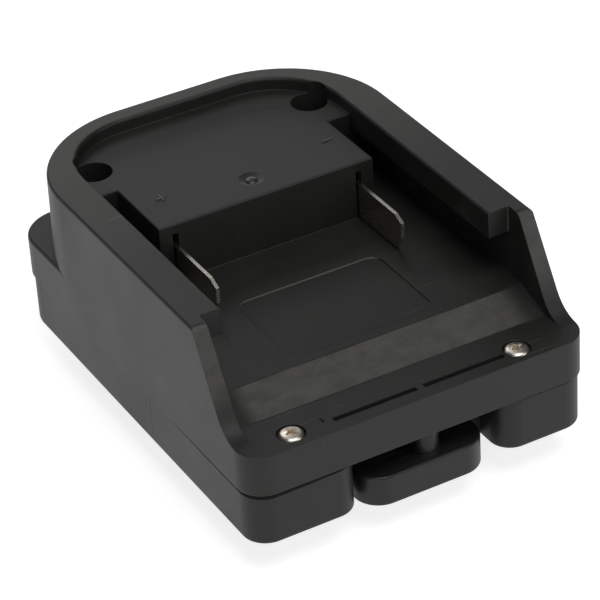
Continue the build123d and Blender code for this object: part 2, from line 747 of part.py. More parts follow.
# Latch button: paddle, guide column, arm and body with the tooth
y_body = y_recess + gap
tooth_from = front + tooth_start
with BuildPart() as latch_button:
    with BuildSketch(Plane.XY.offset(z_paddle)) as paddle_plan:
        with Locations((latch_shift + paddle_shift, front + paddle_depth / 2)):
            Rectangle(paddle_width, paddle_depth)
        fillet(paddle_plan.vertices().group_by(Axis.Y)[0], paddle_radius)
    extrude(amount=paddle_height)
    fillet(latch_button.edges().group_by(Axis.Z)[0] + latch_button.edges().group_by(Axis.Z)[-1], paddle_round)
    post(x_column, y_column, column_width, z_paddle + paddle_round, z_seam + column_top)
    block(arm_width, y_paddle_back - paddle_round, y_body + gap, z_body, z_body + arm_height, x=latch_shift)
    block(arm_width, y_body, y_body_end, z_body, z_body_top, x=latch_shift)
    block(arm_width + 2 * ear_reach, y_body, y_body_end, z_tray_floor + gap, z_tray_floor + gap + ear_height,
          x=latch_shift)
    extrude(
        side_profile(
            latch_shift - tooth_width / 2, (tooth_from, z_body + gap), (tooth_from, z_body - tooth_height),
            (tooth_from + tooth_length * tooth_flat_share, z_body - tooth_height),
            (tooth_from + tooth_length, z_body + gap),
        ),
        amount=tooth_width,
    )
    for side in (-1, 1):
        post(latch_shift + side * spring_offset, y_spring, peg_width, z_body_top - gap, z_body_top + peg_height)
latch_button.part.label = "latch_button"
export_step(latch_button.part, "parts/latch_button.step")


# Latch springs
def coil_route(x, y, z_from, rise, radius, turns):
    """Helix of tangent arcs, two to each quarter turn."""
    def place(turn):
        angle = 2 * pi * turn
        return Vector(x + radius * cos(angle), y + radius * sin(angle), z_from + rise * turn / turns)

    def heading(turn):
        angle = 2 * pi * turn
        return Vector(-radius * sin(angle), radius * cos(angle), rise / turns / (2 * pi)).normalized()

    steps = round(turns * 4)
    for step in range(steps):
        start, end = place(step / 4), place((step + 1) / 4)
        leave, arrive = heading(step / 4), heading((step + 1) / 4)
        chord, both = end - start, leave + arrive
        spread = 2 * (1 - leave.dot(arrive))
        reach = (-chord.dot(both) + (chord.dot(both) ** 2 + spread * chord.dot(chord)) ** 0.5) / spread
        joint = (start + leave * reach + end - arrive * reach) * 0.5
        TangentArc(start, joint, tangent=leave)
        TangentArc(joint, end, tangent=joint - start - leave * reach)


z_coil = z_body_top + gap + spring_wire / 2
coil_rise = z_lip_ceiling - running - spring_wire / 2 - z_coil
print("spring: least gap to itself", round(coil_rise / spring_turns - spring_wire, 2), "mm")
for side, name in ((-1, "latch_spring_left"), (1, "latch_spring_right")):
    with BuildPart() as spring:
        with BuildLine() as coil:
            coil_route(latch_shift + side * spring_offset, y_spring, z_coil, coil_rise,
                       (spring_width - spring_wire) / 2, spring_turns)
        with BuildSketch(Plane(coil.line @ 0, z_dir=coil.line % 0)):
            RegularPolygon(spring_wire / 2, wire_sides)
        sweep()
    spring.part.label = name
    export_step(spring.part, "parts/" + name + ".step")
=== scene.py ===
"""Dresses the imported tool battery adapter: finishes, screws, marks, light and camera."""

import logging
import math
from dataclasses import dataclass, field
from enum import Enum
from typing import Dict, List, Optional, Sequence, Tuple, Union

import bmesh
import bpy
from mathutils import Matrix, Vector

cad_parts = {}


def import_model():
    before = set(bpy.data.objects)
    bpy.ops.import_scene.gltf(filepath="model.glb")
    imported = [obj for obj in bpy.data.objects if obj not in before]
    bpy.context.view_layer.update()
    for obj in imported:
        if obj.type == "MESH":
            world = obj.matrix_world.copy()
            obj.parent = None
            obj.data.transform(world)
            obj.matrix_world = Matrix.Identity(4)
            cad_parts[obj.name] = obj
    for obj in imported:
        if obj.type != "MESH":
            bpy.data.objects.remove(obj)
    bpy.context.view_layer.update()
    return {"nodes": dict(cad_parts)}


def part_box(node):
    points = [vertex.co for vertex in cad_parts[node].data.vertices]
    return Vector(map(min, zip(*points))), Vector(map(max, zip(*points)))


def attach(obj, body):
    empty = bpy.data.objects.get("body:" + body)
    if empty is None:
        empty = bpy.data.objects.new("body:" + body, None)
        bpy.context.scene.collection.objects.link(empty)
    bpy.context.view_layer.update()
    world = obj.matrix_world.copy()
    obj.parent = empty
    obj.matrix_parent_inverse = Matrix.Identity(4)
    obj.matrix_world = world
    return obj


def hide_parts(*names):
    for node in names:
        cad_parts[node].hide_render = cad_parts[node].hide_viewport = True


LOG = logging.getLogger("adapter")
MM = 0.001
WELD = 1e-7
BRIGHTEST = 0.97
Point = Tuple[float, float, float]
Colour = Tuple[float, float, float]
Number = Union[float, "Value"]


class Body(Enum):
    """The rigid body that the scene's own pieces ride on."""

    HOUSING = "root"


class Pointing(Enum):
    """The way a screw's tip points."""

    DOWN = -1
    UP = 1


def shaded(colour: Colour, factor: float, lift: float = 0.0) -> Colour:
    """Makes a colour lighter or darker.

    Args:
        colour: the colour.
        factor: what its channels are multiplied by.
        lift: what is added to them.

    Returns:
        The new colour, kept below full white.
    """
    return tuple(min(channel * factor + lift, BRIGHTEST) for channel in colour)


class Value:
    """A shader number that can be used in Python expressions."""

    def __init__(self, graph: "Graph", socket: bpy.types.NodeSocket) -> None:
        """Wraps the socket.

        Args:
            graph: the material's node graph.
            socket: the output that holds the number.
        """
        self.graph = graph
        self.socket = socket

    def math(self, operation: str, *others: Number, first: Optional[Number] = None) -> "Value":
        """Adds one Math node.

        Args:
            operation: the node's operation.
            others: the other numbers.
            first: the number that goes before this one, for reflected forms.

        Returns:
            The result.
        """
        terms: List[Number] = [self, *others] if first is None else [first, self]
        node = self.graph.node("ShaderNodeMath", {"operation": operation}, dict(enumerate(terms)))
        return Value(self.graph, node.outputs[0])

    def __add__(self, other: Number) -> "Value":
        """Sum."""
        return self.math("ADD", other)

    __radd__ = __add__

    def __sub__(self, other: Number) -> "Value":
        """Difference."""
        return self.math("SUBTRACT", other)

    def __rsub__(self, other: Number) -> "Value":
        """Difference with this number last."""
        return self.math("SUBTRACT", first=other)

    def __mul__(self, other: Number) -> "Value":
        """Product."""
        return self.math("MULTIPLY", other)

    __rmul__ = __mul__

    def __truediv__(self, other: Number) -> "Value":
        """Quotient."""
        return self.math("DIVIDE", other)

    def __abs__(self) -> "Value":
        """Size without its sign."""
        return self.math("ABSOLUTE")

    def __gt__(self, other: Number) -> "Value":
        """1 where this number is greater."""
        return self.math("GREATER_THAN", other)

    def __lt__(self, other: Number) -> "Value":
        """1 where this number is less."""
        return self.math("LESS_THAN", other)

    def ramp(self, low: float, high: float) -> "Value":
        """Goes smoothly from 0 at low to 1 at high.

        Args:
            low: the number that gives 0.
            high: the number that gives 1.

        Returns:
            The eased number.
        """
        node = self.graph.node(
            "ShaderNodeMapRange",
            {"interpolation_type": "SMOOTHSTEP"},
            {"Value": self, "From Min": low, "From Max": high, "To Min": 0.0, "To Max": 1.0},
        )
        return Value(self.graph, node.outputs[0])


class Graph:
    """The node graph of one material."""

    def __init__(self, name: str) -> None:
        """Makes an empty node material.

        Args:
            name: the material's name.
        """
        self.material = bpy.data.materials.new(name)
        self.material.use_nodes = True
        self.tree = self.material.node_tree
        self.tree.nodes.clear()

    def node(self, kind: str, settings: Optional[dict] = None,
             inputs: Optional[dict] = None) -> bpy.types.Node:
        """Adds a node, sets its settings, then its inputs.

        Args:
            kind: the node's type.
            settings: attributes of the node.
            inputs: numbers, colours, sockets or Values by socket name or index.

        Returns:
            The new node.
        """
        made = self.tree.nodes.new(kind)
        for name, setting in (settings or {}).items():
            setattr(made, name, setting)
        for name, given in (inputs or {}).items():
            socket = made.inputs[name]
            if isinstance(given, Value):
                self.tree.links.new(given.socket, socket)
            elif isinstance(given, bpy.types.NodeSocket):
                self.tree.links.new(given, socket)
            else:
                socket.default_value = given
        return made

    def place(self) -> bpy.types.NodeSocket:
        """The point on the piece, in metres."""
        return self.node("ShaderNodeTexCoord").outputs["Object"]

    def along(self, axis: str) -> Value:
        """One coordinate of the point on the piece.

        Args:
            axis: X, Y or Z.

        Returns:
            The coordinate, in metres.
        """
        split = self.node("ShaderNodeSeparateXYZ", None, {0: self.place()})
        return Value(self, split.outputs[axis])

    def facing(self, axis: str) -> Value:
        """One component of the surface's direction.

        Args:
            axis: X, Y or Z.

        Returns:
            The component, from -1 to 1.
        """
        geometry = self.node("ShaderNodeNewGeometry")
        split = self.node("ShaderNodeSeparateXYZ", None, {0: geometry.outputs["Normal"]})
        return Value(self, split.outputs[axis])

    def noise(self, size: float, detail: float = 2.0, roughness: float = 0.5,
              stretch: Point = (1.0, 1.0, 1.0), turn: float = 0.0) -> Value:
        """Noise whose marks are about that size.

        Args:
            size: size of a mark in metres.
            detail: octaves.
            roughness: weight of the finer octaves.
            stretch: how much longer the marks are along each axis.
            turn: turn about Z in radians.

        Returns:
            The noise, around a half.
        """
        scale = tuple(1.0 / (size * along) for along in stretch)
        mapping = self.node("ShaderNodeMapping", None,
                            {"Vector": self.place(), "Rotation": (0.0, 0.0, turn), "Scale": scale})
        made = self.node("ShaderNodeTexNoise", None, {
            "Vector": mapping.outputs[0], "Scale": 1.0, "Detail": detail, "Roughness": roughness})
        return Value(self, made.outputs[0])

    def specks(self, size: float, share: float, radius: float, core: float = 0.4) -> Value:
        """Small round specks, scattered one to a cell in a share of the cells.

        Args:
            size: size of a cell in metres.
            share: share of the cells with a speck.
            radius: radius of a speck, as a share of the cell.
            core: share of the radius that is fully covered.

        Returns:
            1 on a speck and 0 elsewhere.
        """
        mapping = self.node("ShaderNodeMapping", None,
                            {"Vector": self.place(), "Scale": (1.0 / size, 1.0 / size, 1.0 / size)})
        cell = self.node("ShaderNodeTexVoronoi", None, {"Vector": mapping.outputs[0], "Scale": 1.0})
        chosen = self.node("ShaderNodeSeparateXYZ", None, {0: cell.outputs["Color"]})
        near = Value(self, cell.outputs["Distance"]).ramp(radius, radius * core)
        return near * (Value(self, chosen.outputs["X"]) < share)

    def mix(self, share: Number, first: object, second: object) -> bpy.types.NodeSocket:
        """Mixes two colours.

        Args:
            share: how much of the second.
            first: colour or socket at 0.
            second: colour or socket at 1.

        Returns:
            The mixed colour.
        """
        def coloured(given: object) -> object:
            """A bare colour gets its alpha."""
            return (*given, 1.0) if isinstance(given, tuple) and len(given) == 3 else given

        # The node's colours are its inputs 6 and 7 and its output 2
        made = self.node("ShaderNodeMix", {"data_type": "RGBA"},
                         {0: share, 6: coloured(first), 7: coloured(second)})
        return made.outputs[2]

    def round_edge(self, radius: float, samples: int = 6) -> bpy.types.NodeSocket:
        """Rounds the piece's edges in the shading.

        Args:
            radius: the edges' radius, in metres.
            samples: rays that look for a near edge.

        Returns:
            The direction of the rounded surface.
        """
        return self.node("ShaderNodeBevel", {"samples": samples}, {"Radius": radius}).outputs[0]

    def edge(self, rounded: bpy.types.NodeSocket, start: float = 0.01, full: float = 0.3) -> Value:
        """How much a rounded edge departs from the flat surface.

        Args:
            rounded: the direction of the rounded surface.
            start: the departure that gives 0.
            full: the departure that gives 1.

        Returns:
            0 on a flat place and up to 1 on an edge.
        """
        geometry = self.node("ShaderNodeNewGeometry")
        dot = self.node("ShaderNodeVectorMath", {"operation": "DOT_PRODUCT"},
                        {0: rounded, 1: geometry.outputs["Normal"]})
        return (1.0 - Value(self, dot.outputs["Value"])).ramp(start, full)

    def bump(self, height: Value, depth: float,
             under: Optional[bpy.types.NodeSocket] = None) -> bpy.types.NodeSocket:
        """Adds bumps to the surface's direction.

        Args:
            height: height from 0 to 1.
            depth: depth of the bumps in metres.
            under: direction that the bumps are added to, such as that of rounded edges.

        Returns:
            The direction.
        """
        inputs: Dict[str, object] = {"Height": height, "Distance": depth}
        if under is not None:
            inputs["Normal"] = under
        return self.node("ShaderNodeBump", None, inputs).outputs[0]

    def finish(self, inputs: dict) -> bpy.types.Material:
        """Ends the graph in the surface shader.

        Args:
            inputs: the shader's inputs.

        Returns:
            The material.
        """
        shader = self.node("ShaderNodeBsdfPrincipled", None, inputs)
        self.node("ShaderNodeOutputMaterial", None, {"Surface": shader.outputs[0]})
        return self.material


@dataclass
class Skin:
    """What a marked surface is made of while its material is being built."""

    tone: object
    rough: Value
    height: Value
    edge: Value
    handled: Value

    def cover(self, g: Graph, share: Value, colour: Colour) -> None:
        """Lays a colour over the tone.

        Args:
            g: the material's graph.
            share: how much of the colour shows.
            colour: the colour.
        """
        self.tone = g.mix(share, self.tone, colour)


@dataclass(frozen=True)
class UpperMarks:
    """Where use has rubbed the upper moulding, and where light and shade are painted on it. Lengths are in
    metres.
    """

    top: float
    lip: float = 0.0306
    floor: float = 0.0337
    hair: float = 0.0001
    flat: float = 0.9
    slanted: float = 0.993
    upright: float = 0.6
    rim_depth: float = 0.0006
    rim_run: Tuple[float, float] = (-0.015, 0.045)
    rim_share: float = 0.5
    brink_depth: float = 0.0007
    brink_share: float = 0.8
    scuff_size: float = 0.008
    scuff_share: float = 0.22
    mottle_size: float = 0.0032
    mottle_share: float = 0.4
    slope_run: Tuple[float, float] = (0.036, 0.026)
    slope_half: Tuple[float, float] = (0.0345, 0.0300)
    slope_share: float = 0.56
    end_share: float = 0.45
    end_rise: Tuple[float, float] = (-0.001, 0.007)
    groove_half: float = 0.0362
    panel_half: float = 0.0185
    panel_depth: float = 0.0004
    step_share: float = 0.6
    slit_y: float = -0.0508
    slit_middle: float = 0.0013
    slit_half: Tuple[float, float] = (0.00085, 0.0006)
    slit_reach: float = 0.0203
    slit_bridge: float = 0.0008
    slit_share: float = 0.9
    slit_below: float = 0.0003
    tick: Tuple[float, float] = (-0.0209, -0.0497)
    tick_half: Tuple[float, float] = (0.0003, 0.0009)
    tick_depth: float = 4.0
    # Roughness added where the painted shade lies
    shade_rough: float = 0.4
    # Pale colour of the rubbed places and of the painted sheen, light and highlights
    pale: Colour = (0.085, 0.083, 0.078)
    # Near black of the painted shade in the slits and the tick
    shade_tone: Colour = (0.002, 0.002, 0.002)

    def apply(self, g: Graph, skin: Skin) -> None:
        """Adds the marks to the surface.

        Args:
            g: the material's graph.
            skin: the surface so far. It is changed.
        """
        self.rub_and_light_walls(g, skin)
        self.light_front(g, skin)
        self.shade_lip(g, skin)

    def rub_and_light_walls(self, g: Graph, skin: Skin) -> None:
        """Paints a sheen on the wall's rim, stronger towards the back and broken into rubbed patches,
        paints a highlight along the wall's top edges and rubs its sides.

        Args:
            g: the material's graph.
            skin: the surface so far. It is changed.
        """
        y, z = (g.along(axis) for axis in "YZ")
        # Painted sheen on the rim, lighter towards the back, in rubbed patches
        rim = (z > self.top - self.rim_depth) * (g.facing("Z") > self.flat)
        rim = rim * (skin.handled.ramp(0.2, 0.7) * 0.4 + 0.6)
        rim = rim * (y.ramp(*self.rim_run) * 0.85 + 0.1)
        # Painted highlight along the top edges of the wall
        brink_highlight = skin.edge * (z > self.top - self.brink_depth)
        scuff = g.noise(self.scuff_size, 5.0, 0.7).ramp(0.52, 0.72) * (abs(g.facing("X")) > self.upright)
        skin.cover(g, rim * self.rim_share, self.pale)
        skin.cover(g, brink_highlight * self.brink_share, shaded(self.pale, 1.5))
        skin.cover(g, scuff * self.scuff_share, self.pale)

    def light_front(self, g: Graph, skin: Skin) -> None:
        """Paints light on the ramp, on the wall's front ends and on the panel's step.

        Args:
            g: the material's graph.
            skin: the surface so far. It is changed.
        """
        x, z = (g.along(axis) for axis in "XZ")
        up = g.facing("Z")
        forward = g.facing("Y") * -1.0
        mottle = g.noise(self.mottle_size, 5.0, 0.68, stretch=(1.6, 1.0, 1.0)).ramp(0.3, 0.68)
        # Painted sheen on the ramp, mottled, fading near the walls and weaker at its right end, where the
        # wall shades it
        slope_sheen = (z > self.lip + self.hair) * (z < self.floor - self.hair)
        slope_sheen = slope_sheen * (up > self.flat) * (up < self.slanted)
        slope_sheen = slope_sheen * (x.ramp(*self.slope_run) * 0.4 + 0.6) * abs(x).ramp(*self.slope_half)
        low, high = (self.floor + rise for rise in self.end_rise)
        # Painted light on the wall's front ends, where they face forward, mottled
        ends = forward.ramp(0.15, 0.5) * z.ramp(low, high) * (abs(x) > self.groove_half)
        # Painted highlight on the panel's step, where it faces forward
        step = (z > self.floor - self.panel_depth) * (z < self.floor)
        step = step * (forward > 0.5) * (abs(x) < self.panel_half)
        skin.cover(g, slope_sheen * (mottle * self.mottle_share + self.slope_share), self.pale)
        skin.cover(g, ends * (mottle * self.mottle_share + self.end_share), self.pale)
        skin.cover(g, step * self.step_share, shaded(self.pale, 2.2))

    def shade_lip(self, g: Graph, skin: Skin) -> None:
        """Paints shade into both slits in the lip and cuts the little tick beside them, with painted shade
        in it too.

        Args:
            g: the material's graph.
            skin: the surface so far. It is changed.
        """
        x, y, z = (g.along(axis) for axis in "XYZ")
        level = (z > self.lip - self.slit_below) * (z < self.lip + self.hair)
        aside = abs(x - self.slit_middle)
        painted_shade = abs(y - self.slit_y).ramp(*self.slit_half)
        painted_shade = painted_shade * (aside < self.slit_reach) * (aside > self.slit_bridge)
        notch = (abs(x - self.tick[0]) < self.tick_half[0]) * (abs(y - self.tick[1]) < self.tick_half[1])
        # Painted shade: the slits and the tick are darkened to near black
        black = level * (painted_shade * self.slit_share).math("MAXIMUM", notch)
        skin.cover(g, black, self.shade_tone)
        skin.rough = skin.rough + black * self.shade_rough
        skin.height = skin.height - level * notch * self.tick_depth


@dataclass(frozen=True)
class LowerMarks:
    """The mould's parting line and the seam of the lower moulding, both darkened by painted shade. Lengths
    are in metres.
    """

    seam: float = 0.0206
    parting: float = -0.0098
    parting_half: float = 0.00022
    parting_share: float = 0.6
    parting_depth: float = 5.0
    upright: float = 0.7
    flat: float = 0.8
    shut: float = 0.00005
    gap: float = 0.0007
    gap_along: Tuple[float, float] = (0.014, -0.036)
    gap_across: Tuple[float, float] = (-0.004, -0.034)
    # Roughness added where the painted shade lies
    shade_rough: float = 0.45
    shade_tone: Colour = (0.001, 0.001, 0.001)

    def apply(self, g: Graph, skin: Skin) -> None:
        """Adds the marks to the surface.

        Args:
            g: the material's graph.
            skin: the surface so far. It is changed.
        """
        x, y, z = (g.along(axis) for axis in "XYZ")
        groove = (1.0 - abs(y - self.parting) / self.parting_half).math("MAXIMUM", 0.0)
        groove = groove * (z < self.seam) * (abs(g.facing("X")) > self.upright)
        # The seam gapes towards the front left corner, so its painted shade widens there
        opened = y.ramp(*self.gap_along)
        opened = opened * opened * x.ramp(*self.gap_across)
        painted_shade = (z > self.seam - self.shut - opened * self.gap) * (abs(g.facing("Z")) < self.flat)
        skin.height = skin.height - groove * self.parting_depth
        # Painted shade in the parting line's crease and along the seam
        skin.cover(g, (groove * self.parting_share).math("MAXIMUM", painted_shade), self.shade_tone)
        skin.rough = skin.rough + painted_shade * self.shade_rough


@dataclass(frozen=True)
class MouldedNylon:
    """Black glass-filled nylon: satin, finely grained, a little cloudy, dusty and rubbed at the edges."""

    name: str
    tone: Colour = (0.0158, 0.0155, 0.0144)
    worn: Colour = (0.060, 0.059, 0.057)
    dust_tone: Colour = (0.16, 0.158, 0.15)
    roughness: float = 0.46
    refraction: float = 1.42
    cloud_size: float = 0.016
    handled_size: float = 0.034
    grain: float = 0.00042
    grain_depth: float = 0.000022
    streak_width: float = 0.0009
    streak_stretch: Point = (14.0, 1.0, 1.0)
    hair_width: float = 0.0005
    hair_stretch: Point = (30.0, 1.0, 1.0)
    dust_cell: float = 0.0026
    fluff_cell: float = 0.0061
    edge_radius: float = 0.00028
    rubbed: float = 0.65
    dusty: float = 0.8
    scratched: float = 0.7
    marks: Optional[Union[UpperMarks, LowerMarks]] = None

    def make(self) -> bpy.types.Material:
        """Builds the material.

        Returns:
            The material.
        """
        g = Graph(self.name)
        rounded = g.round_edge(self.edge_radius)
        edge = g.edge(rounded)
        cloud = g.noise(self.cloud_size, 4.0, 0.55)
        handled = g.noise(self.handled_size, 3.0, 0.6, turn=0.7)
        grain = g.noise(self.grain, 3.0, 0.65)
        streak = g.noise(self.streak_width, 2.0, 0.5, stretch=self.streak_stretch, turn=0.35)
        hair = g.noise(self.hair_width, 1.0, 0.4, stretch=self.hair_stretch, turn=-0.5)
        # Noise lies around a half, so the two numbers of a ramp pick how much of it shows
        level = g.facing("Z").ramp(0.6, 0.9)
        hairline = hair.ramp(0.69, 0.73) * handled.ramp(0.5, 0.66) * level * self.scratched
        dust = g.specks(self.dust_cell, 0.10, 0.10) * self.dusty
        fluff = g.specks(self.fluff_cell, 0.07, 0.055) * self.dusty
        rough = self.roughness + (cloud - 0.5) * 0.16 + (handled - 0.5) * 0.10 - edge * 0.08 + dust * 0.2
        skin = Skin(self.tone, rough, grain * 0.8 + cloud * 0.6 - hairline * 0.5, edge, handled)
        skin.cover(g, cloud.ramp(0.3, 0.72) * 0.55, shaded(self.tone, 1.5))
        skin.cover(g, edge * self.rubbed * handled.ramp(0.32, 0.62), self.worn)
        skin.cover(g, streak.ramp(0.62, 0.8) * level * 0.12, self.worn)
        skin.cover(g, hairline * 0.7, shaded(self.worn, 1.7))
        skin.cover(g, dust * 0.55 + fluff * 0.7, self.dust_tone)
        if self.marks is not None:
            self.marks.apply(g, skin)
        normal = g.bump(skin.height, self.grain_depth, rounded)
        return g.finish({"Base Color": skin.tone, "Roughness": skin.rough, "Normal": normal,
                         "IOR": self.refraction})


@dataclass(frozen=True)
class StampedMetal:
    """Plated or plain sheet metal, with drawn lines along the strip, rubbed patches and a painted highlight
    on its edges.
    """

    name: str
    tone: Colour = (0.70, 0.67, 0.60)
    dull: Colour = (0.42, 0.39, 0.33)
    roughness: float = 0.27
    lines: Point = (1.0, 26.0, 1.0)
    line_width: float = 0.00012
    line_depth: float = 0.000012
    patch_size: float = 0.0028
    pit_cell: float = 0.0008
    edge_radius: float = 0.00010

    def make(self) -> bpy.types.Material:
        """Builds the material.

        Returns:
            The material.
        """
        g = Graph(self.name)
        rounded = g.round_edge(self.edge_radius)
        edge = g.edge(rounded)
        drawn = g.noise(self.line_width, 2.0, 0.6, stretch=self.lines)
        patch = g.noise(self.patch_size, 4.0, 0.6)
        pits = g.specks(self.pit_cell, 0.16, 0.16)
        tone = g.mix(patch.ramp(0.36, 0.7) * 0.55, self.tone, self.dull)
        # Painted highlight: every edge is a lighter metal
        tone = g.mix(edge * 0.9, tone, shaded(self.tone, 1.35))
        tone = g.mix(pits * 0.3, tone, shaded(self.dull, 0.4))
        rough = self.roughness + (patch - 0.5) * 0.16 + (drawn - 0.5) * 0.10 + pits * 0.1 + edge * 0.1
        normal = g.bump(drawn * 0.7 + patch * 0.5 - pits, self.line_depth, rounded)
        return g.finish({"Base Color": tone, "Roughness": rough, "Metallic": 1.0, "Normal": normal})


@dataclass(frozen=True)
class ScrewSteel:
    """Bright plated screw, rubbed in its recess, with darker plating in the hollows."""

    name: str
    tone: Colour = (0.95, 0.87, 0.77)
    dull: Colour = (0.55, 0.46, 0.37)
    rubbed: Colour = (0.86, 0.80, 0.72)
    roughness: float = 0.33
    patch_size: float = 0.0011
    turned_width: float = 0.0002
    pit_cell: float = 0.0006
    pit_depth: float = 0.00003
    edge_radius: float = 0.00012

    def make(self) -> bpy.types.Material:
        """Builds the material.

        Returns:
            The material.
        """
        g = Graph(self.name)
        rounded = g.round_edge(self.edge_radius)
        edge = g.edge(rounded)
        patch = g.noise(self.patch_size, 4.0, 0.65)
        turned = g.noise(self.turned_width, 2.0, 0.5)
        pits = g.specks(self.pit_cell, 0.2, 0.2)
        tone = g.mix(patch.ramp(0.45, 0.72) * 0.8, self.tone, self.dull)
        tone = g.mix(edge * 0.5, tone, self.rubbed)
        tone = g.mix(pits * 0.6, tone, shaded(self.dull, 0.5))
        rough = self.roughness + (patch - 0.5) * 0.4 + pits * 0.2
        normal = g.bump(patch * 0.8 + turned * 0.4 - pits * 0.6, self.pit_depth, rounded)
        return g.finish({"Base Color": tone, "Roughness": rough, "Metallic": 1.0, "Normal": normal})


@dataclass(frozen=True)
class SoftInsulation:
    """Silicone, lacquer or shrunk tube, dusty and a little uneven."""

    name: str
    tone: Colour
    roughness: float = 0.5
    cloud_size: float = 0.004
    grain: float = 0.0003
    grain_depth: float = 0.00002

    def make(self) -> bpy.types.Material:
        """Builds the material.

        Returns:
            The material.
        """
        g = Graph(self.name)
        cloud = g.noise(self.cloud_size, 3.0, 0.6)
        fine = g.noise(self.grain, 2.0, 0.6)
        tone = g.mix(cloud.ramp(0.35, 0.7) * 0.5, self.tone, shaded(self.tone, 0.6, 0.02))
        rough = self.roughness + (cloud - 0.5) * 0.25
        return g.finish({"Base Color": tone, "Roughness": rough, "Normal": g.bump(fine, self.grain_depth)})


def add_object(name: str, data: bpy.types.ID) -> bpy.types.Object:
    """Adds an object to the scene.

    Args:
        name: the object's name.
        data: its mesh, lamp or camera.

    Returns:
        The object.
    """
    made = bpy.data.objects.new(name, data)
    bpy.context.scene.collection.objects.link(made)
    return made


def applied_mesh(source: bpy.types.Object) -> bpy.types.Mesh:
    """Applies an object's modifiers.

    Args:
        source: the object. It stays as it is.

    Returns:
        Its final mesh.
    """
    bpy.context.view_layer.update()
    return bpy.data.meshes.new_from_object(source.evaluated_get(bpy.context.evaluated_depsgraph_get()))


def mesh_piece(name: str, shape: bmesh.types.BMesh, smooth_angle: float = 35.0) -> bpy.types.Object:
    """Makes an object at the origin from a finished shape.

    Args:
        name: the piece's name.
        shape: the shape, in metres in the model's frame. It is freed.
        smooth_angle: edges sharper than this, in degrees, stay sharp.

    Returns:
        The object, linked to the scene.
    """
    bmesh.ops.remove_doubles(shape, verts=shape.verts, dist=WELD)
    bmesh.ops.recalc_face_normals(shape, faces=shape.faces)
    limit = math.radians(smooth_angle)
    for face in shape.faces:
        face.smooth = True
    for side in shape.edges:
        side.smooth = len(side.link_faces) == 2 and side.calc_face_angle(0.0) < limit
    mesh = bpy.data.meshes.new(name)
    shape.to_mesh(mesh)
    shape.free()
    return add_object(name, mesh)


def join_rings(shape: bmesh.types.BMesh, rings: Sequence[Sequence[bmesh.types.BMVert]]) -> None:
    """Joins rings of points into a closed skin. A ring of one point ends it in a tip.

    Args:
        shape: the shape that gets the faces.
        rings: the rings, from one end to the other.
    """
    sides = max(len(ring) for ring in rings)
    for lower, upper in zip(rings, rings[1:]):
        for step in range(sides):
            after = (step + 1) % sides
            corners = [lower[step % len(lower)], lower[after % len(lower)],
                       upper[after % len(upper)], upper[step % len(upper)]]
            unique = list(dict.fromkeys(corners))
            if len(unique) >= 3:
                shape.faces.new(unique)
    for end in (rings[0], rings[-1]):
        if len(end) >= 3:
            shape.faces.new(end)


def lathe(shape: bmesh.types.BMesh, profile: Sequence[Tuple[float, float]], sides: int,
          centre: Point = (0.0, 0.0, 0.0)) -> None:
    """Turns a profile of (radius, height) about a vertical axis, closed at both ends.

    Args:
        shape: the shape that gets the faces.
        profile: radii and heights in millimetres, from one end to the other; the ends have radius 0.
        sides: number of sides.
        centre: place of the axis, in millimetres.
    """
    rings = []
    for radius, height in profile:
        middle = Vector(centre) + Vector((0.0, 0.0, height))
        ring = []
        for step in range(sides if radius > 0.0 else 1):
            angle = 2.0 * math.pi * step / sides
            outward = Vector((math.cos(angle), math.sin(angle), 0.0))
            ring.append(shape.verts.new((middle + outward * radius) * MM))
        rings.append(ring)
    join_rings(shape, rings)


def scatter(name: str, pattern: bpy.types.Object, places: Sequence[Point],
            material: bpy.types.Material) -> bpy.types.Object:
    """Repeats a pattern object at the places with Geometry Nodes and returns one plain mesh.

    Args:
        name: the piece's name.
        pattern: the object that is repeated. It is removed.
        places: the places, in metres.
        material: the finish that the tree sets.

    Returns:
        The piece.
    """
    points = bpy.data.meshes.new(name + "_places")
    points.from_pydata([tuple(place) for place in places], [], [])
    carrier = add_object(name + "_carrier", points)
    tree = bpy.data.node_groups.new(name + "_tree", "GeometryNodeTree")
    tree.interface.new_socket("Places", in_out="INPUT", socket_type="NodeSocketGeometry")
    tree.interface.new_socket("Pattern", in_out="INPUT", socket_type="NodeSocketObject")
    tree.interface.new_socket("Size", in_out="INPUT", socket_type="NodeSocketFloat")
    tree.interface.new_socket("Result", in_out="OUTPUT", socket_type="NodeSocketGeometry")
    entry = tree.nodes.new("NodeGroupInput")
    source = tree.nodes.new("GeometryNodeObjectInfo")
    repeat = tree.nodes.new("GeometryNodeInstanceOnPoints")
    realize = tree.nodes.new("GeometryNodeRealizeInstances")
    dress = tree.nodes.new("GeometryNodeSetMaterial")
    result = tree.nodes.new("NodeGroupOutput")
    dress.inputs["Material"].default_value = material
    link = tree.links.new
    link(entry.outputs["Pattern"], source.inputs["Object"])
    link(entry.outputs["Places"], repeat.inputs["Points"])
    link(source.outputs["Geometry"], repeat.inputs["Instance"])
    link(entry.outputs["Size"], repeat.inputs["Scale"])
    link(repeat.outputs["Instances"], realize.inputs["Geometry"])
    link(realize.outputs["Geometry"], dress.inputs["Geometry"])
    link(dress.outputs["Geometry"], result.inputs["Result"])
    modifier = carrier.modifiers.new(name, "NODES")
    modifier.node_group = tree
    sockets = {item.name: item.identifier for item in tree.interface.items_tree if item.in_out == "INPUT"}
    modifier[sockets["Pattern"]] = pattern
    modifier[sockets["Size"]] = 1.0
    mesh = applied_mesh(carrier)
    mesh.name = name
    made = add_object(name, mesh)
    if not mesh.materials:
        mesh.materials.append(material)
    carrier.modifiers.clear()
    for spare in (carrier, pattern):
        bpy.data.objects.remove(spare)
    return made


def paint(target: bpy.types.Object, material: bpy.types.Material) -> None:
    """Gives the object that one material.

    Args:
        target: the object.
        material: the finish.
    """
    target.data.materials.clear()
    target.data.materials.append(material)
    LOG.info("%s: %s", target.name, material.name)


